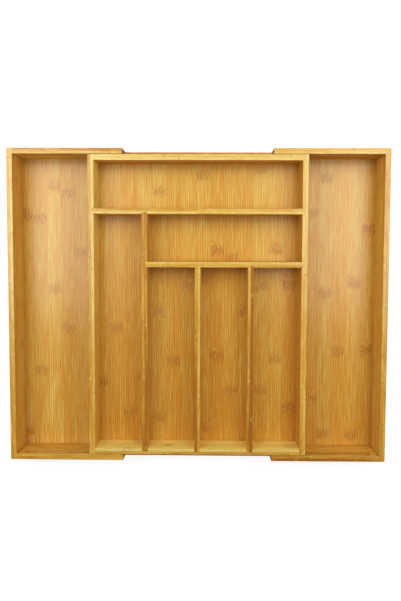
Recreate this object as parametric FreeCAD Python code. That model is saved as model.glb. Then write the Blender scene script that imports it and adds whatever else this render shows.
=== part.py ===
import FreeCAD, Part
import os

# Expandable cutlery tray of laminated bamboo: a centre tray with six compartments, and two
# U-shaped wings that slide out from under it to the left and the right.
# Millimetres, X to the right, Y to the back, Z up. The origin is on the drawer's bottom, under the
# middle of the tray. The wings are drawn fully pulled out.

# Compartments of the centre tray, clear inside sizes
column_width = 70.0
row_depth = 69.5
long_compartment = 271.5

# Height of the rim above the drawer's bottom
tray_height = 65.0

# Boards
centre_wall = 8.8
wing_wall = 8.6
divider_board = 8.4
centre_floor = 5.0
wing_floor = 5.0

# How far the boards are let into each other
centre_floor_groove = 4.0
centre_floor_lift = 6.2
wing_floor_rebate = 4.0
side_dado = 3.0
front_dado = 4.4
divider_dado = 2.6

# Slide: runners along the outside of the centre tray, with heads that stop in the wings' grooves
slide_gap = 0.4
closing_gap = 1.1
meeting_gap = 3.0
runner_drop = 12.5
runner_height = 7.0
runner_seat = 2.0
runner_reach = 3.7
runner_inset = 9.6
runner_play = 0.4
head_length = 30.0
head_height = 13.0
end_stop = 10.9

# Comb joints and rounded edges
finger_count = 7
corner_radius = 1.2
rim_radius = 0.7
foot_radius = 0.8

# Layout counts
columns = 4
rows = 2

# Sizes that follow from the above
centre_bottom = wing_floor + slide_gap
centre_width = columns * column_width + (columns - 1) * divider_board + 2 * centre_wall
centre_depth = rows * (row_depth + divider_board) + long_compartment + 2 * centre_wall
half_width = centre_width / 2
half_depth = centre_depth / 2
inner_x = half_width - centre_wall
inner_y = half_depth - centre_wall
floor_top = centre_bottom + centre_floor_lift + centre_floor
runner_level = tray_height - runner_drop
wing_inner_y = half_depth + slide_gap
wing_outer_y = wing_inner_y + wing_wall
closed_half = half_width + closing_gap + wing_wall
wing_reach = closed_half - meeting_gap / 2
groove_near_side = wing_wall + closing_gap + runner_inset - runner_play
groove_length = wing_reach - end_stop - groove_near_side
travel = groove_length - head_length - 2 * runner_play
open_half = closed_half + travel
wing_end = open_half - wing_reach

# Two edges closer than this lie on the same level
SAME_LEVEL = 0.001

# Directions in which pieces are mirrored to the other side
across = FreeCAD.Vector(1, 0, 0)
lengthwise = FreeCAD.Vector(0, 1, 0)


def block(x, y, z):
    """Box between the low and high values given along each axis."""
    return Part.makeBox(x[1] - x[0], y[1] - y[0], z[1] - z[0], FreeCAD.Vector(x[0], y[0], z[0]))


def level_at(edge, height):
    """True for an edge that lies flat at the given height."""
    bounds = edge.BoundBox
    return bounds.ZMin > height - SAME_LEVEL and bounds.ZMax < height + SAME_LEVEL


def upright_at(edge, x_values):
    """True for an upright edge at one of the given places along X."""
    bounds = edge.BoundBox
    upright = bounds.ZLength > SAME_LEVEL and bounds.XLength + bounds.YLength < SAME_LEVEL
    return upright and any(abs(bounds.XMin - x) < SAME_LEVEL for x in x_values)


def round_level(shape, height, radius):
    """Round over every edge at the given height, such as the rim."""
    return shape.makeFillet(radius, [edge for edge in shape.Edges if level_at(edge, height)])


def round_uprights(shape, x_values, radius):
    """Round over the upright edges at the given places along X."""
    return shape.makeFillet(radius, [edge for edge in shape.Edges if upright_at(edge, x_values)])


def fingers(x, y_spans, bottom, first):
    """Every second finger of the comb joints in the corner posts, counted up from the bottom."""
    pitch = (tray_height - bottom) / finger_count
    posts = []
    for y in y_spans:
        for number in range(first, finger_count, 2):
            posts.append(block(x, y, (bottom + number * pitch, bottom + (number + 1) * pitch)))
    return posts


def slot_bar(x, level, height, y):
    """Bar along X with round ends, as long as x and as high as height, from y[0] to y[1]."""
    radius = height / 2
    near = x[0] + radius
    far = x[1] - radius

    def point(along, up):
        return FreeCAD.Vector(along, y[0], level + up)

    top = Part.LineSegment(point(near, radius), point(far, radius))
    right = Part.Arc(point(far, radius), point(x[1], 0), point(far, -radius))
    under = Part.LineSegment(point(far, -radius), point(near, -radius))
    left = Part.Arc(point(near, -radius), point(x[0], 0), point(near, radius))
    outline = Part.Wire([curve.toShape() for curve in (top, right, under, left)])
    return Part.Face(outline).extrude(FreeCAD.Vector(0, y[1] - y[0], 0))


def mirrored(shape, axis):
    """The same piece on the other side of the tray."""
    return shape.mirror(FreeCAD.Vector(0, 0, 0), axis)


def keyed_bar(near, head, y, play):
    """Bar along X from near to a taller head with round ends, made larger by the play."""
    rise = runner_height / 2 + play
    bar = block((near, (head[0] + head[1]) / 2), y, (runner_level - rise, runner_level + rise))
    return bar.fuse(slot_bar(head, runner_level, head_height + 2 * play, y)).removeSplitter()


def runner():
    """Right back runner, let into the back wall from the middle of the centre tray to its corner."""
    head = (half_width - runner_inset - head_length, half_width - runner_inset)
    return keyed_bar(0, head, (half_depth - runner_seat, half_depth + runner_reach), 0)


def all_runners():
    """The four runners by name."""
    right_back = runner()
    right_front = mirrored(right_back, lengthwise)
    return {
        "right_back_runner": right_back,
        "right_front_runner": right_front,
        "left_back_runner": mirrored(right_back, across),
        "left_front_runner": mirrored(right_front, across),
    }


def centre_floor_panel():
    """Floor of the centre tray, held in grooves on all four sides."""
    x = inner_x + centre_floor_groove
    y = inner_y + centre_floor_groove
    return block((-x, x), (-y, y), (floor_top - centre_floor, floor_top))


# Lines of the divider faces, counted from the back and from the left inside face
back_row_front = inner_y - row_depth
second_row_back = back_row_front - divider_board
second_row_front = second_row_back - row_depth
long_back = second_row_front - divider_board


def column_left(number):
    """Left face of a lengthwise column, counted from 0 at the left wall."""
    return -inner_x + number * (column_width + divider_board)


def divider_seats():
    """The dividers with square edges, which are also the shapes of their dados, by name."""
    z = (floor_top, tray_height)
    first_divider = (column_left(1) - divider_board, column_left(1))
    front_end = -inner_y - front_dado
    seats = {
        "long_cross_divider": block(
            (-inner_x - side_dado, inner_x + side_dado), (second_row_back, back_row_front), z
        ),
        "left_lengthwise_divider": block(first_divider, (front_end, second_row_back + divider_dado), z),
        "short_cross_divider": block(
            (first_divider[1] - divider_dado, inner_x + side_dado), (long_back, second_row_front), z
        ),
    }
    for name, number in (("middle_lengthwise_divider", 2), ("right_lengthwise_divider", 3)):
        x = (column_left(number) - divider_board, column_left(number))
        seats[name] = block(x, (front_end, long_back + divider_dado), z)
    return seats


def long_rim_edges(shape):
    """The two long top edges of a divider."""
    longest = max(shape.BoundBox.XLength, shape.BoundBox.YLength)
    top_edges = [edge for edge in shape.Edges if level_at(edge, tray_height)]
    return [edge for edge in top_edges if edge.Length > longest - SAME_LEVEL]


def dividers(seats):
    """Dividers with rounded top edges, with dados cut where another divider is let in."""
    shapes = {name: seat.makeFillet(rim_radius, long_rim_edges(seat)) for name, seat in seats.items()}
    shapes["long_cross_divider"] = shapes["long_cross_divider"].cut(seats["left_lengthwise_divider"])
    shapes["left_lengthwise_divider"] = shapes["left_lengthwise_divider"].cut(seats["short_cross_divider"])
    for name in ("middle_lengthwise_divider", "right_lengthwise_divider"):
        shapes["short_cross_divider"] = shapes["short_cross_divider"].cut(seats[name])
    return shapes


def centre_walls(let_in):
    """Four comb-jointed walls of the centre tray, cut for everything that is let into them."""
    z = (centre_bottom, tray_height)
    outside = block((-half_width, half_width), (-half_depth, half_depth), z)
    outside = round_uprights(outside, (-half_width, half_width), corner_radius)
    inside = block((-inner_x, inner_x), (-inner_y, inner_y), z)
    frame = round_level(outside.cut(inside), tray_height, rim_radius)
    frame = round_level(frame, centre_bottom, foot_radius).cut(let_in)

    right = block((inner_x, half_width), (-half_depth, half_depth), z)
    back = block((-half_width, half_width), (inner_y, half_depth), z)
    corner_x = (inner_x, half_width)
    corner_y = ((inner_y, half_depth), (-half_depth, -inner_y))
    side_fingers = Part.makeCompound(fingers(corner_x, corner_y, centre_bottom, 0))
    cross_fingers = Part.makeCompound(fingers(corner_x, corner_y, centre_bottom, 1))
    right = right.cut(cross_fingers)
    back = back.cut(side_fingers).cut(mirrored(side_fingers, across))
    return {
        "centre_right_wall": frame.common(right),
        "centre_left_wall": frame.common(mirrored(right, across)),
        "centre_back_wall": frame.common(back),
        "centre_front_wall": frame.common(mirrored(back, lengthwise)),
    }


def right_wing():
    """Side wall, back wall, front wall and floor of the right wing, by name."""
    z = (0, tray_height)
    side_inner = open_half - wing_wall
    outside = block((wing_end, open_half), (-wing_outer_y, wing_outer_y), z)
    outside = round_uprights(outside, (open_half,), corner_radius)
    inside = block((wing_end, side_inner), (-wing_inner_y, wing_inner_y), z)
    frame = round_uprights(outside.cut(inside), (wing_end,), rim_radius)
    frame = round_level(frame, tray_height, rim_radius)
    frame = round_level(frame, 0, foot_radius)

    floor_y = wing_inner_y + wing_floor_rebate
    floor = block((wing_end, side_inner + wing_floor_rebate), (-floor_y, floor_y), (0, wing_floor))

    groove_x = (open_half - groove_near_side - groove_length, open_half - groove_near_side)
    groove_y = (wing_inner_y, half_depth + runner_reach + runner_play)
    groove = keyed_bar(wing_end, groove_x, groove_y, runner_play)
    frame = frame.cut([floor, groove, mirrored(groove, lengthwise)])

    side = block((side_inner, open_half), (-wing_outer_y, wing_outer_y), z)
    back = block((wing_end, open_half), (wing_inner_y, wing_outer_y), z)
    corner_x = (side_inner, open_half)
    corner_y = ((wing_inner_y, wing_outer_y), (-wing_outer_y, -wing_inner_y))
    side = side.cut(Part.makeCompound(fingers(corner_x, corner_y, 0, 1)))
    back = back.cut(Part.makeCompound(fingers(corner_x, corner_y, 0, 0)))
    return {
        "side_wall": frame.common(side),
        "back_wall": frame.common(back),
        "front_wall": frame.common(mirrored(back, lengthwise)),
        "floor": floor,
    }


def build():
    """Every piece of the tray by name."""
    pieces = {"centre_floor": centre_floor_panel()}
    pieces.update(all_runners())
    seats = divider_seats()
    let_in = list(pieces.values()) + list(seats.values())
    pieces.update(dividers(seats))
    pieces.update(centre_walls(let_in))
    for name, shape in right_wing().items():
        pieces["right_wing_" + name] = shape
        pieces["left_wing_" + name] = mirrored(shape, across)
    return pieces


os.makedirs("parts", exist_ok=True)
for piece_name, piece in build().items():
    solid = piece.Solids[0] if len(piece.Solids) == 1 else piece
    solid.exportStep("parts/" + piece_name + ".step")
    print(piece_name, "solids", len(piece.Solids), "valid", piece.isValid())
print("closed width", round(2 * closed_half, 2), "open width", round(2 * open_half, 2))
print("depth", round(2 * wing_outer_y, 2), "travel", round(travel, 2))
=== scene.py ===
import math

import bpy
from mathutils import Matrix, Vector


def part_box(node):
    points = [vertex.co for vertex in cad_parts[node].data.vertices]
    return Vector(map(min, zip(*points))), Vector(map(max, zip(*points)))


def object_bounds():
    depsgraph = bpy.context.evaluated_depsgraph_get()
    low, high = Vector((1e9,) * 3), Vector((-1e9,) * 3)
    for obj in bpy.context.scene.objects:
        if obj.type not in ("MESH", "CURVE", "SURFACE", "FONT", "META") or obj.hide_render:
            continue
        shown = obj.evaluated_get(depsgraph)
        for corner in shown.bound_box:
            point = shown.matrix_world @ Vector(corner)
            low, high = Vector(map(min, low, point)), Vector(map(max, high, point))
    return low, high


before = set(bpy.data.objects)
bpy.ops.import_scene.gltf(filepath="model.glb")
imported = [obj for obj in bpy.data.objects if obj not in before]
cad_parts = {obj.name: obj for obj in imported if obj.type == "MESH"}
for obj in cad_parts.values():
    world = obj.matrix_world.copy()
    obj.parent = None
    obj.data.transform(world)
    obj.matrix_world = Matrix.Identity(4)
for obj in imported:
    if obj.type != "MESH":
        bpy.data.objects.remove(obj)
cad_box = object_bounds()

# Camera of the photograph, fitted to the tray's outline: metres, radians and pixels
CAMERA_PLACE = (0.01946, 0.08534, 1.10566)
CAMERA_TILT = 0.07298
CAMERA_PAN = -0.01446
CAMERA_ROLL = -0.00436
FOCAL_PIXELS = 708.1
FRAME_HEIGHT_PIXELS = 601
SENSOR_MM = 36.0

# Studio: soft panels overhead and white surroundings under a dim ceiling, in metres and watts
WHITE = (1.0, 1.0, 1.0, 1.0)
WORLD_LIGHT = 0.34
WORLD_SHOWN = 0.88
CEILING_SHARE = 0.05
CEILING_FROM = math.cos(math.radians(50))
CEILING_TO = math.cos(math.radians(20))
SIDE_PANEL_SIZE = (0.6, 0.72)
SIDE_PANEL_PLACE = (0.6, 0.275, 1.0)
SIDE_PANEL_WATTS = 5.9
BACK_PANEL_SIZE = (1.0, 1.2)
BACK_PANEL_PLACE = (0.0, 0.85, 1.65)
BACK_PANEL_WATTS = 8.0
STAGE_SIZE = 12.0
STAGE_DROP = 0.0004
STAGE_GLOW = 0.8

# Bamboo strips and the nodes on them, in millimetres
MM_PER_METRE = 1000.0
STRIP_WIDTH = 22.3
WALL_STRIP_WIDTH = 20.0
WALL_STRIP_START = -5.0
NODE_SPACING = 185.0
NODES_PER_STRIP = 3
NO_NODE = 900.0  # off every board, for a node that is missing
NODE_RANGE = 1000.0

# How many different boards the chances of the strips tell apart
SEED_RANGE = 97

# Where the strips of each floor start, and where the nodes of each strip lie along it, from the left
FLOOR_STRIPS = {
    "centre_floor": (-160.1, (
        (-124,), (-34,), (-166,), (-118,), (169, -14, -180), (-85,), (30,), (194, 34, -196),
        (85, -77), (75, -131), (-15,), (202, 25, -137), (80, -88), (33, -157), (),
    )),
    "left_wing_floor": (-279.1, (
        (132, -207), (134, -103), (179, 19), (173, -36), (82,), (-90,), (60,), (-150,),
    )),
    "right_wing_floor": (96.25, (
        (0,), (60,), (-90,), (143, -145), (191, 14, -208), (-70,), (30, -210), (121, -67), (150,),
    )),
}

# Tone of each board, where a pair is the tone at the back or right end and the tone at the other end; the
# paler back ends are painted light that falls off towards the front
BOARD_TONES = {
    # Faces, then the two plies on the rim, front or left first
    "centre_back_wall": (0.41, 0.87, 0.90),
    # The pale inner face of the centre front wall is partly a paler strip and partly painted light on a
    # face turned to the lamps behind.
    "centre_front_wall": (1.05, 0.48, 0.88),
    "centre_left_wall": ((0.89, 0.57), (0.55, 0.49), (0.95, 0.61)),
    "centre_right_wall": (0.49, (0.90, 0.32), (0.97, 0.55)),
    "long_cross_divider": (0.45, 0.68, 0.56),
    "short_cross_divider": (0.45, 0.57, 0.81),
    "left_lengthwise_divider": (0.52, (0.42, 0.26), (0.37, 0.12)),
    "middle_lengthwise_divider": (0.42, (0.58, 0.00), (0.76, 0.52)),
    # The dark front end of the right ply on its rim is painted shade beside the divider.
    "right_lengthwise_divider": (0.57, (0.62, 0.14), (0.20, -0.50)),
    "left_wing_side_wall": (0.58, (0.66, 0.50), (0.72, 0.54)),
    "right_wing_side_wall": (0.63, (0.46, 0.40), (0.50, 0.50)),
    "left_wing_back_wall": (0.72, 0.70, 0.36),
    "right_wing_back_wall": (0.36, 0.84, 0.58),
    "left_wing_front_wall": (0.52, 0.50, 0.58),
    "right_wing_front_wall": (0.62, 0.16, 0.38),
    "left_back_runner": (0.32, 0.07, 0.07),
    "right_back_runner": (0.32, 0.18, 0.18),
    "left_front_runner": (0.32, -0.25, -0.25),
    "right_front_runner": (0.32, -0.20, -0.20),
}

# Tone of each floor at its back and front end, paler at the back as painted light that falls off towards
# the front, and of the outer half of every wall
FLOOR_TONES = {
    "centre_floor": (0.63, 0.44),
    "left_wing_floor": (0.63, 0.57),
    "right_wing_floor": (0.67, 0.50),
}
OUTSIDE_TONE = 0.44

# How much streaks, fine lines and the strips themselves change the tone, and the rose tinge of some
STREAK_SHARE = 0.3
LINE_SHARE = 0.13
STRIP_SHARE = 0.16
ROSE_FROM = 0.35
ROSE_SHARE = 0.08

# Grain of each noise, in steps per millimetre along the fibres, across them and through the plies
FIBRE_GRAIN = (0.03, 0.68, 0.33)
STREAK_GRAIN = (0.005, 0.07, 0.15)
WANDER_GRAIN = (0.08, 0.15)
STROKE_GRAIN = (0.1, 0.25)
WEAR_AND_SHADE_GRAIN = (0.05, 0.2)

# How many steps of its noise a strip lies away from the next one, at most
STRIP_SHIFT = 50.0

# How far nodes and fibres wander, in millimetres
NODE_WANDER = 18.0
FIBRE_WANDER = 1.6

# How strongly fibres draw together at a node, and within how many millimetres of it
PINCH = 1.2
PINCH_REACH = 13.0

# Over how many strip widths the places that fibres draw to are spread
HEART_SPREAD = 1.1

# Fine lines along the fibres: how many millimetres apart, and how far streaks bend them, in radians
LINE_SPACING = 3.4
LINE_BEND = 9.0

# Node figure: a fan of strokes, longer on one side of the node. Millimetres and shares of its colours.
STROKE_SPACING = 7.2
STROKE_FROM = -0.5
STROKE_TO = 0.7
STROKE_PATCHES = (0.3, 0.55, 0.3, 1.0)
FAN_SHORT_REACH = 6.5
FAN_LONG_REACH = 18.2
FAINTEST_FAN = 0.6
STROKE_DARK = 0.55
FAN_DARK = 0.28
FAN_PALE = 0.2
FAN_ON_FACE = 0.6

# Bands: where the middle lies, how far from it the band is full, where it ends, and how strong it is
FAN_BAND = (0.0, 0.2, 1.0, 1.0)  # in shares of the fan's reach
STRIP_BAND = (0.0, 0.42, 0.5, 1.0)  # in strip widths
TICK_BAND = (-1.5, 0.4, 1.8, 0.3)
GLEAM_BAND = (3.0, 0.5, 4.0, 0.2)
GLUE_BAND = (0.0, 0.2, 0.8, 0.15)

# Seams between strips, from the strip's middle in shares of its width, and how brown they are
SEAM_FROM = 0.485
SEAM_TO = 0.5
SEAM_SHARE = 0.3

# How squarely a surface faces before it counts as a rim, as an end or as no rounded edge
RIM_FACING = (0.3, 0.8)
END_FACING = (0.7, 0.95)
FLAT_FACING = (0.75, 0.96)

# Dots on end grain, per millimetre and from dark to pale, the end grain kept dark partly as painted
# shade, and how brown rounded edges are in patches, partly wear and partly painted shade on the rounding
DOTS_PER_MM = 0.9
DOT_EDGE = (0.15, 0.5)
WEAR_AND_SHADE_PATCHES = (0.35, 0.65, 0.05, 0.35)

# How far down from its top edge a wall still has a rim, and how strongly painted shade darkens the ledges
# of its grooves below that
RIM_DEPTH = 4.0
LEDGE_SHADE_SHARE = 0.6

# Painted shade on the floor along the foot of each wall and divider, more in front of it
FOOT_SHADE_REACH = 9.0
FOOT_SHADE_DRIFT = 3.5
FOOT_SHADE_SHARE = 0.25

# Small dark gaps inside the corners of the wings, darkest at every second finger of the comb joint, over
# painted shade that runs along the whole inside corner
FINGER_COUNT = 7
FINGER_HEIGHT = (cad_box[1][2] - cad_box[0][2]) * MM_PER_METRE / FINGER_COUNT
GAP_FROM = 0.4
GAP_REACH = 2.0
GAP_FADE = (0.1, 0.7, 0.65, 0.2)

# Satin lacquer: its roughness, what adds to it, and the relief of the fibres
ROUGHNESS = 0.2
FIBRE_ROUGHNESS = 0.12
WEAR_ROUGHNESS = 0.3
FACE_ROUGHNESS = 0.35
END_ROUGHNESS = 0.6
LACQUER_IOR = 1.5
NODE_RELIEF = 0.6
RELIEF_STRENGTH = 0.2
RELIEF_METRES = 0.0004


def srgb(red, green, blue):
    """Colour in linear light, from the 0 to 255 values seen on a screen."""
    def linear(value):
        value /= 255
        return value / 12.92 if value <= 0.04045 else ((value + 0.055) / 1.055) ** 2.4

    return (linear(red), linear(green), linear(blue), 1.0)


# Dark, middle and pale bamboo, on the floors, on the faces of the other boards and on their rims
FLOOR_COLOURS = (srgb(186, 110, 29), srgb(215, 157, 55), srgb(232, 217, 119))
FACE_COLOURS = (srgb(182, 96, 6), srgb(210, 146, 32), srgb(250, 228, 118))
RIM_COLOURS = (srgb(170, 102, 26), srgb(219, 168, 62), srgb(236, 211, 122))
NODE_PALE = RIM_COLOURS[2]
NODE_BROWN = srgb(172, 90, 0)
ROSE = srgb(206, 140, 40)
SEAM_BROWN = srgb(140, 84, 24)
GAP_AND_SHADE_BROWN = srgb(70, 32, 8)
# End grain, dark partly because it soaks up lacquer and partly as painted shade on the free ends
END_DARK = srgb(76, 50, 16)
END_PALE = srgb(136, 96, 42)

# Floor of the studio, as it shows and as it throws light back
STAGE_SHOWN = srgb(176, 176, 176)
STAGE_WHITE = srgb(235, 235, 235)


def box_mm(node):
    """Lowest and highest corner of a node, in millimetres."""
    return [corner * MM_PER_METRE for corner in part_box(node)]


def inside_corners(node):
    """Where a wing's wall meets the next one inside the corner, in millimetres along its grain."""
    if "_wing_" not in node or not node.endswith("_wall"):
        return ()
    wing = node.split("_wing_")[0] + "_wing_"
    if node.endswith("side_wall"):
        return (box_mm(wing + "front_wall")[1].y, box_mm(wing + "back_wall")[0].y)
    left, right = box_mm(wing + "side_wall")
    return (right.x if wing == "left_wing_" else left.x,)


def feet_on(node):
    """Boxes of the walls and dividers that stand on a floor, in millimetres."""
    if not node.endswith("_floor"):
        return []
    group = node.removesuffix("floor")
    names = [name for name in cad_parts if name.startswith(group) and name.endswith("_wall")]
    if node == "centre_floor":
        names += [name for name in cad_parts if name.endswith("_divider")]
    return [box_mm(name) for name in names]


def new_material(name):
    """Material with a node tree of its own."""
    material = bpy.data.materials.new(name)
    material.use_nodes = True
    return material


class Shader:
    """A node tree, with short calls that add nodes and link their inputs."""

    def __init__(self, tree):
        self.tree = tree
        self.tree.nodes.clear()

    def feed(self, socket, value):
        """Link a socket to another one, or set it to a constant."""
        if isinstance(value, bpy.types.NodeSocket):
            self.tree.links.new(value, socket)
        else:
            socket.default_value = value

    def add(self, kind, inputs, **settings):
        """Add a node, with its settings and with its inputs by name or number."""
        node = self.tree.nodes.new("ShaderNode" + kind)
        for name, value in settings.items():
            setattr(node, name, value)
        for name, value in inputs.items():
            self.feed(node.inputs[name], value)
        return node

    def math(self, operation, *values):
        """Result of one arithmetic node."""
        return self.add("Math", dict(enumerate(values)), operation=operation).outputs[0]

    def mix(self, share, low, high):
        """Blend of two colours."""
        return self.add("Mix", {0: share, 6: low, 7: high}, data_type="RGBA").outputs[2]

    def vector(self, x, y, z):
        """Vector from three numbers or sockets."""
        return self.add("CombineXYZ", {0: x, 1: y, 2: z}).outputs[0]

    def noise(self, place, detail, roughness=0.5):
        """Soft noise about 0.5 at a place given in units of its own grain."""
        inputs = {"Vector": place, "Scale": 1.0, "Detail": detail, "Roughness": roughness}
        return self.add("TexNoise", inputs).outputs[0]

    def about_zero(self, value):
        """Value from 0 to 1, moved to lie about 0."""
        return self.math("SUBTRACT", value, 0.5)

    def ramp(self, value, low, high, new_low, new_high):
        """Value moved evenly from one range to another, without leaving the new range."""
        return self.add("MapRange", dict(enumerate((value, low, high, new_low, new_high)))).outputs[0]

    def remap(self, value, low, high, new_low=0.0, new_high=1.0):
        """Value moved from one range to another, smoothly and without leaving the new range."""
        inputs = dict(enumerate((value, low, high, new_low, new_high)))
        return self.add("MapRange", inputs, interpolation_type="SMOOTHSTEP").outputs[0]

    def band(self, value, middle, full, end, strength):
        """Strength of a soft band around a middle value."""
        distance = self.math("ABSOLUTE", self.math("SUBTRACT", value, middle))
        return self.remap(distance, full, end, strength, 0.0)

    def steps(self, share, colours):
        """One of several colours, picked by a share from 0 to 1."""
        ramp = self.add("ValToRGB", {0: share})
        ramp.color_ramp.interpolation = "CONSTANT"
        elements = ramp.color_ramp.elements
        elements.remove(elements[1])
        for number, colour in enumerate(colours):
            element = elements[0] if number == 0 else elements.new(number / len(colours))
            element.color = colour
        return ramp.outputs[0]

    def shade(self, tone, colours):
        """Colour between the dark, middle and pale one, for a tone from 0 to 1."""
        dark, middle, pale = colours
        lower = self.mix(self.ramp(tone, 0.0, 0.5, 0.0, 1.0), dark, middle)
        return self.mix(self.ramp(tone, 0.5, 1.0, 0.0, 1.0), lower, pale)

    def background_share(self):
        """1 for the rays that show the white background, 0 for those that carry light."""
        path = self.add("LightPath", {}).outputs
        share = self.math("MAXIMUM", path["Is Camera Ray"], path["Is Glossy Ray"])
        return self.math("MAXIMUM", share, path["Is Transmission Ray"])


class Board:
    """How a board's bamboo lies: the axes along its grain, across its strips and through its plies."""

    def __init__(self, node, axes, strip_width, strip_start, tones, nodes=()):
        low, high = box_mm(node)
        self.node = node
        self.axes = tuple("xyz".index(name) for name in axes)
        along, across, through = self.axes
        self.strip_width = strip_width
        self.strip_start = strip_start
        self.tones = tones
        self.nodes = nodes
        self.middle = (low[through] + high[through]) / 2
        self.ends = (high[along], low[along])
        self.rim = high[across] - RIM_DEPTH
        self.is_wall = node.endswith("_wall")
        self.is_floor = node.endswith("_floor")
        self.corners = inside_corners(node)
        self.feet = feet_on(node)
        self.seed = sum(ord(letter) for letter in node) % SEED_RANGE


class Bamboo(Shader):
    """Laminated bamboo with a satin lacquer, for one board."""

    def __init__(self, board):
        self.material = new_material(board.node + "_bamboo")
        super().__init__(self.material.node_tree)
        self.board = board
        self.locate()
        self.find_strip()
        self.find_node()
        self.lay_fibres()
        self.tint_strips()
        self.draw_nodes()
        self.draw_seams()
        self.draw_ends()
        self.draw_gaps_and_corner_shade()
        self.paint_ledge_shade()
        self.paint_foot_shade()
        self.wear_and_shade_edges()
        self.lacquer()

    def locate(self):
        """Place on the board in millimetres, and the way its surface faces."""
        axes = self.board.axes
        coordinates = self.add("TexCoord", {}).outputs
        metres = self.add("SeparateXYZ", {0: coordinates["Object"]}).outputs
        normal = self.add("SeparateXYZ", {0: coordinates["Normal"]}).outputs
        places = [self.math("MULTIPLY", metres[axis], MM_PER_METRE) for axis in axes]
        self.along, self.across, self.through = places
        self.end, self.edge, self.face = [self.math("ABSOLUTE", normal[axis]) for axis in axes]
        self.on_rim = self.remap(self.edge, *RIM_FACING)
        self.on_end = self.remap(self.end, *END_FACING)

    def find_strip(self):
        """Which strip, ply and half of the board it is, and the strip's own chances."""
        board = self.board
        strips = self.math("SUBTRACT", self.across, board.strip_start)
        strips = self.math("DIVIDE", strips, board.strip_width)
        self.strip = self.math("FLOOR", strips)
        self.in_strip = self.about_zero(self.math("FRACT", strips))
        self.from_middle = self.math("SUBTRACT", self.through, board.middle)
        self.ply = 0.0 if board.is_floor else self.math("GREATER_THAN", self.from_middle, 0.0)
        inward = self.math("MULTIPLY", self.from_middle, math.copysign(1.0, -board.middle))
        self.inside = self.math("GREATER_THAN", inward, 0.0)
        place = self.vector(self.strip, self.ply, board.seed)
        chance = self.add("TexWhiteNoise", {"Vector": place}).outputs
        self.luck = chance["Value"]
        self.chances = self.add("SeparateColor", {0: chance["Color"]}).outputs
        self.shift = self.math("MULTIPLY", self.chances[1], STRIP_SHIFT)

    def find_node(self):
        """Signed distance along the grain to the nearest node of the strip."""
        if not self.board.is_floor:
            laps = self.math("SUBTRACT", self.math("DIVIDE", self.along, NODE_SPACING), self.chances[0])
            lap = self.math("FRACT", self.math("ADD", laps, 0.5))
            self.to_node = self.math("MULTIPLY", self.about_zero(lap), NODE_SPACING)
            return
        share = self.math("DIVIDE", self.math("ADD", self.strip, 0.5), len(self.board.nodes))
        colours = []
        for nodes in self.board.nodes:
            places = list(nodes) + [NO_NODE] * (NODES_PER_STRIP - len(nodes))
            colours.append([(place / NODE_RANGE + 1) / 2 for place in places] + [1.0])
        self.to_node = NO_NODE
        for level in self.add("SeparateColor", {0: self.steps(share, colours)}).outputs:
            place = self.math("MULTIPLY", self.math("MULTIPLY_ADD", level, 2.0, -1.0), NODE_RANGE)
            distance = self.math("SUBTRACT", self.along, place)
            size = self.math("ABSOLUTE", distance)
            closer = self.math("LESS_THAN", size, self.math("ABSOLUTE", self.to_node))
            change = self.math("SUBTRACT", distance, self.to_node)
            self.to_node = self.math("MULTIPLY_ADD", closer, change, self.to_node)

    def patches(self, grain, across, third, detail):
        """Noise in soft patches, at a place along and across the board and at a third value."""
        along_grain, across_grain = grain
        along = self.math("MULTIPLY", self.along, along_grain)
        place = self.vector(along, self.math("MULTIPLY", across, across_grain), third)
        return self.noise(place, detail)

    def strands(self, grain, detail, roughness=0.5):
        """Noise drawn out along the bent fibres, another one for each strip."""
        along_grain, across_grain, through_grain = grain
        place = self.vector(
            self.math("MULTIPLY_ADD", self.along, along_grain, self.shift),
            self.math("MULTIPLY", self.bent, across_grain),
            self.math("MULTIPLY", self.through, through_grain),
        )
        return self.noise(place, detail, roughness)

    def waves(self, spacing, shift=0.0):
        """Even waves across the bent fibres."""
        return self.math("SINE", self.math("MULTIPLY_ADD", self.bent, 2 * math.pi / spacing, shift))

    def lay_fibres(self):
        """Fibres run along the strip, and draw together at each node."""
        wander = self.about_zero(self.patches(WANDER_GRAIN, self.across, self.shift, detail=2.0))
        self.level = self.math("MULTIPLY_ADD", wander, NODE_WANDER, self.to_node)
        straight = self.math("MULTIPLY_ADD", wander, FIBRE_WANDER, self.across)
        heart = self.math("MULTIPLY", self.about_zero(self.chances[0]), HEART_SPREAD)
        from_heart = self.math("SUBTRACT", self.in_strip, heart)
        from_heart = self.math("MULTIPLY", from_heart, self.board.strip_width)
        pinch = self.ramp(self.math("ABSOLUTE", self.level), 0.0, PINCH_REACH, PINCH, 0.0)
        pinch = self.math("MULTIPLY", pinch, self.face)
        self.bent = self.math("MULTIPLY_ADD", from_heart, pinch, straight)
        self.fibre = self.strands(FIBRE_GRAIN, detail=4.0, roughness=0.6)
        self.streak = self.strands(STREAK_GRAIN, detail=2.0)
        self.line = self.waves(LINE_SPACING, self.math("MULTIPLY", self.streak, LINE_BEND))

    def tone_along(self, tone):
        """A tone, or the change from one tone to another along the board, which paints light falling off
        towards the front where the back end is paler.
        """
        if not isinstance(tone, tuple):
            return tone
        return self.ramp(self.along, *self.board.ends, *tone)

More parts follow.
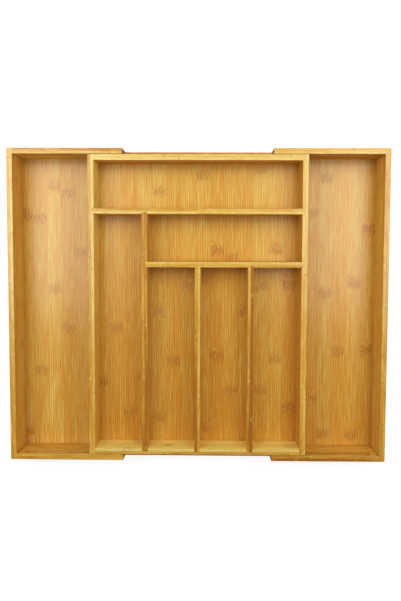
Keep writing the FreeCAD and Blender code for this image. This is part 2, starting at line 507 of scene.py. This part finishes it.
    def tint_strips(self):
        """Colour of each strip with its fibres, and another one on the rim of a standing board."""
        board = self.board
        tone = self.tone_along(board.tones[0])
        if board.is_wall:
            change = self.math("SUBTRACT", tone, OUTSIDE_TONE)
            tone = self.math("MULTIPLY_ADD", self.inside, change, OUTSIDE_TONE)
        tone = self.math("MULTIPLY_ADD", self.about_zero(self.chances[2]), STRIP_SHARE, tone)
        grain = self.about_zero(self.fibre)
        grain = self.math("MULTIPLY_ADD", self.about_zero(self.streak), STREAK_SHARE, grain)
        grain = self.math("MULTIPLY_ADD", self.line, LINE_SHARE, grain)
        colours = FLOOR_COLOURS if board.is_floor else FACE_COLOURS
        self.colour = self.shade(self.math("ADD", tone, grain), colours)
        rose = self.remap(self.luck, ROSE_FROM, 1.0, 0.0, ROSE_SHARE)
        self.colour = self.mix(rose, self.colour, ROSE)
        if board.is_floor:
            return
        first, second = [self.tone_along(ply_tone) for ply_tone in board.tones[1:]]
        ply_tone = self.math("MULTIPLY_ADD", self.ply, self.math("SUBTRACT", second, first), first)
        rim = self.shade(self.math("ADD", ply_tone, grain), RIM_COLOURS)
        self.colour = self.mix(self.on_rim, self.colour, rim)

    def draw_nodes(self):
        """Node figure: a fan of darker strokes on a face, a tick and a gleam on a rim."""
        stroke = self.remap(self.waves(STROKE_SPACING), STROKE_FROM, STROKE_TO)
        patches = self.patches(STROKE_GRAIN, self.bent, self.shift, detail=1.0)
        stroke = self.math("MULTIPLY", stroke, self.remap(patches, *STROKE_PATCHES))
        side = self.math("SIGN", self.about_zero(self.chances[2]))
        long_side = self.math("GREATER_THAN", self.math("MULTIPLY", self.level, side), 0.0)
        reach = self.math("MULTIPLY_ADD", long_side, FAN_LONG_REACH - FAN_SHORT_REACH, FAN_SHORT_REACH)
        fan = self.band(self.math("DIVIDE", self.level, reach), *FAN_BAND)
        fan = self.math("MULTIPLY", fan, self.band(self.in_strip, *STRIP_BAND))
        strength = self.math("MULTIPLY_ADD", self.luck, 1 - FAINTEST_FAN, FAINTEST_FAN)
        fan = self.math("MULTIPLY", fan, strength)
        pale = self.math("MULTIPLY", fan, self.math("MULTIPLY_ADD", stroke, -FAN_PALE, FAN_PALE))
        self.figure = self.math("MULTIPLY", fan, self.math("MULTIPLY_ADD", stroke, STROKE_DARK, FAN_DARK))
        if not self.board.is_floor:
            on_face = self.math("MULTIPLY_ADD", self.on_rim, -FAN_ON_FACE, FAN_ON_FACE)
            tick = self.math("MULTIPLY", self.band(self.to_node, *TICK_BAND), self.on_rim)
            gleam = self.math("MULTIPLY", self.band(self.to_node, *GLEAM_BAND), self.on_rim)
            self.figure = self.math("MULTIPLY_ADD", self.figure, on_face, tick)
            pale = self.math("MULTIPLY_ADD", pale, on_face, gleam)
        self.colour = self.mix(pale, self.colour, NODE_PALE)
        self.colour = self.mix(self.figure, self.colour, NODE_BROWN)

    def draw_seams(self):
        """Glue lines between strips and plies."""
        self.seam = self.remap(self.math("ABSOLUTE", self.in_strip), SEAM_FROM, SEAM_TO, 0.0, SEAM_SHARE)
        self.colour = self.mix(self.seam, self.colour, SEAM_BROWN)
        if not self.board.is_floor:
            glue = self.band(self.from_middle, *GLUE_BAND)
            self.colour = self.mix(glue, self.colour, SEAM_BROWN)

    def draw_ends(self):
        """End grain: fibre bundles as dark dots, the whole end kept dark partly as painted shade."""
        place = self.vector(self.across, self.through, 0.0)
        dots = self.add("TexVoronoi", {"Vector": place, "Scale": DOTS_PER_MM}).outputs["Distance"]
        grain = self.mix(self.remap(dots, *DOT_EDGE), END_DARK, END_PALE)
        self.colour = self.mix(self.on_end, self.colour, grain)

    def draw_gaps_and_corner_shade(self):
        """Small dark gaps between the comb's fingers, over painted shade along the inside corners."""
        finger = self.math("PINGPONG", self.math("DIVIDE", self.across, FINGER_HEIGHT), 1.0)
        gaps_and_shade = self.remap(finger, *GAP_FADE)
        gaps_and_shade = self.math("MULTIPLY", gaps_and_shade, self.math("MULTIPLY", self.inside, self.face))
        for corner in self.board.corners:
            beside = self.band(self.along, corner, GAP_FROM, GAP_REACH, 1.0)
            # dark gaps at the fingers, with painted shade all along the corner
            self.colour = self.mix(self.math("MULTIPLY", gaps_and_shade, beside), self.colour, GAP_AND_SHADE_BROWN)

    def paint_ledge_shade(self):
        """Painted shade on the ledges of the grooves in a wall, below its rim."""
        if not self.board.is_wall:
            return
        below = self.math("LESS_THAN", self.across, self.board.rim)
        # painted shade inside the grooves
        ledge_shade = self.math("MULTIPLY", self.math("MULTIPLY", self.on_rim, LEDGE_SHADE_SHARE), below)
        self.colour = self.mix(ledge_shade, self.colour, SEAM_BROWN)

    def paint_foot_shade(self):
        """Painted shade on a floor, along the foot of each wall and divider."""
        for low, high in self.board.feet:
            middle = (low + high) / 2
            half = (high - low) / 2
            beside = self.math("ABSOLUTE", self.math("SUBTRACT", self.across, middle.x))
            beside = self.math("SUBTRACT", beside, half.x)
            before = self.math("ABSOLUTE", self.math("SUBTRACT", self.along, middle.y - FOOT_SHADE_DRIFT))
            before = self.math("SUBTRACT", before, half.y)
            distance = self.math("MAXIMUM", beside, before)
            # painted shade: the floor darker close to each foot
            foot_shade = self.remap(distance, 0.0, FOOT_SHADE_REACH, FOOT_SHADE_SHARE, 0.0)
            self.colour = self.mix(foot_shade, self.colour, SEAM_BROWN)

    def wear_and_shade_edges(self):
        """Rounded edges, browned in patches, partly as wear and partly as painted shade on the rounding,
        and scuffed in places.
        """
        flat = self.math("MAXIMUM", self.end, self.math("MAXIMUM", self.edge, self.face))
        rounded = self.remap(flat, *FLAT_FACING, 1.0, 0.0)
        patches = self.patches(WEAR_AND_SHADE_GRAIN, self.across, self.through, detail=3.0)
        self.wear_and_edge_shade = self.math("MULTIPLY", rounded, self.remap(patches, *WEAR_AND_SHADE_PATCHES))
        # wear and painted shade on the rounded edges
        self.colour = self.mix(self.wear_and_edge_shade, self.colour, SEAM_BROWN)

    def lacquer(self):
        """Satin lacquer over fine fibre relief."""
        roughness = self.math("MULTIPLY_ADD", self.fibre, FIBRE_ROUGHNESS, ROUGHNESS)
        roughness = self.math("MULTIPLY_ADD", self.wear_and_edge_shade, WEAR_ROUGHNESS, roughness)
        if not self.board.is_floor:
            roughness = self.math("MULTIPLY_ADD", self.face, FACE_ROUGHNESS, roughness)
        roughness = self.math("MULTIPLY_ADD", self.on_end, END_ROUGHNESS, roughness)
        height = self.math("MULTIPLY_ADD", self.figure, NODE_RELIEF, self.fibre)
        height = self.math("SUBTRACT", height, self.seam)
        relief = {"Height": height, "Strength": RELIEF_STRENGTH, "Distance": RELIEF_METRES}
        surface = self.add("BsdfPrincipled", {
            "Base Color": self.colour,
            "Roughness": roughness,
            "Normal": self.add("Bump", relief).outputs[0],
            "IOR": LACQUER_IOR,
        })
        self.add("OutputMaterial", {"Surface": surface.outputs[0]})


def board_of(node):
    """How the bamboo of a node lies."""
    if node in FLOOR_STRIPS:
        start, nodes = FLOOR_STRIPS[node]
        return Board(node, "yxz", STRIP_WIDTH, start, (FLOOR_TONES[node],), nodes)
    low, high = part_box(node)
    axes = "yzx" if high.y - low.y > high.x - low.x else "xzy"
    return Board(node, axes, WALL_STRIP_WIDTH, WALL_STRIP_START, BOARD_TONES[node])


def set_camera():
    """Camera at the photograph's place and angle."""
    data = bpy.data.cameras.new("photo_camera")
    data.sensor_width = SENSOR_MM
    data.lens = FOCAL_PIXELS * SENSOR_MM / FRAME_HEIGHT_PIXELS
    camera = bpy.data.objects.new("photo_camera", data)
    camera.location = CAMERA_PLACE
    camera.rotation_mode = "ZYX"
    camera.rotation_euler = (-CAMERA_TILT, -CAMERA_PAN, -CAMERA_ROLL)
    bpy.context.scene.collection.objects.link(camera)
    bpy.context.scene.camera = camera


def add_panel(name, place, size, watts, mirrored):
    """Soft light panel overhead that faces straight down, mirrored in the lacquer or not."""
    light = bpy.data.lights.new(name, "AREA")
    light.shape = "RECTANGLE"
    light.size, light.size_y = size
    light.energy = watts
    panel = bpy.data.objects.new(name, light)
    panel.location = place
    panel.visible_camera = False
    panel.visible_glossy = mirrored
    bpy.context.scene.collection.objects.link(panel)


def set_world():
    """White surroundings under a dim ceiling, which light the tray weakly and show as nearly white."""
    world = bpy.data.worlds.new("studio")
    world.use_nodes = True
    shader = Shader(world.node_tree)
    level = shader.ramp(shader.background_share(), 0.0, 1.0, WORLD_LIGHT, WORLD_SHOWN)
    direction = shader.add("TexCoord", {}).outputs["Generated"]
    upward = shader.add("SeparateXYZ", {0: direction}).outputs["Z"]
    ceiling = shader.ramp(upward, CEILING_FROM, CEILING_TO, 1.0, CEILING_SHARE)
    strength = shader.math("MULTIPLY", level, ceiling)
    background = shader.add("Background", {"Color": WHITE, "Strength": strength})
    shader.add("OutputWorld", {"Surface": background.outputs[0]})
    bpy.context.scene.world = world


def add_stage():
    """Plain white floor that shows the tray's shadow faintly."""
    half = STAGE_SIZE / 2
    corners = [(-half, -half, 0), (half, -half, 0), (half, half, 0), (-half, half, 0)]
    mesh = bpy.data.meshes.new("stage_floor")
    mesh.from_pydata(corners, [], [(0, 1, 2, 3)])
    floor = bpy.data.objects.new("stage_floor", mesh)
    floor.location.z = -STAGE_DROP
    material = new_material("stage_white")
    shader = Shader(material.node_tree)
    light = shader.add("BsdfDiffuse", {"Color": STAGE_WHITE}).outputs[0]
    shadow = shader.add("BsdfDiffuse", {"Color": STAGE_SHOWN}).outputs[0]
    glow = shader.add("Emission", {"Color": WHITE, "Strength": STAGE_GLOW}).outputs[0]
    shown = shader.add("AddShader", {0: shadow, 1: glow}).outputs[0]
    surface = shader.add("MixShader", {0: shader.background_share(), 1: light, 2: shown})
    shader.add("OutputMaterial", {"Surface": surface.outputs[0]})
    mesh.materials.append(material)
    bpy.context.scene.collection.objects.link(floor)


for name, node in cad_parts.items():
    node.data.materials.clear()
    node.data.materials.append(Bamboo(board_of(name)).material)

set_camera()
set_world()
add_stage()
side, back, height = SIDE_PANEL_PLACE
add_panel("left_panel", (-side, back, height), SIDE_PANEL_SIZE, SIDE_PANEL_WATTS, True)
add_panel("right_panel", (side, back, height), SIDE_PANEL_SIZE, SIDE_PANEL_WATTS, True)
add_panel("back_panel", BACK_PANEL_PLACE, BACK_PANEL_SIZE, BACK_PANEL_WATTS, False)
bpy.context.scene.view_settings.view_transform = "Standard"
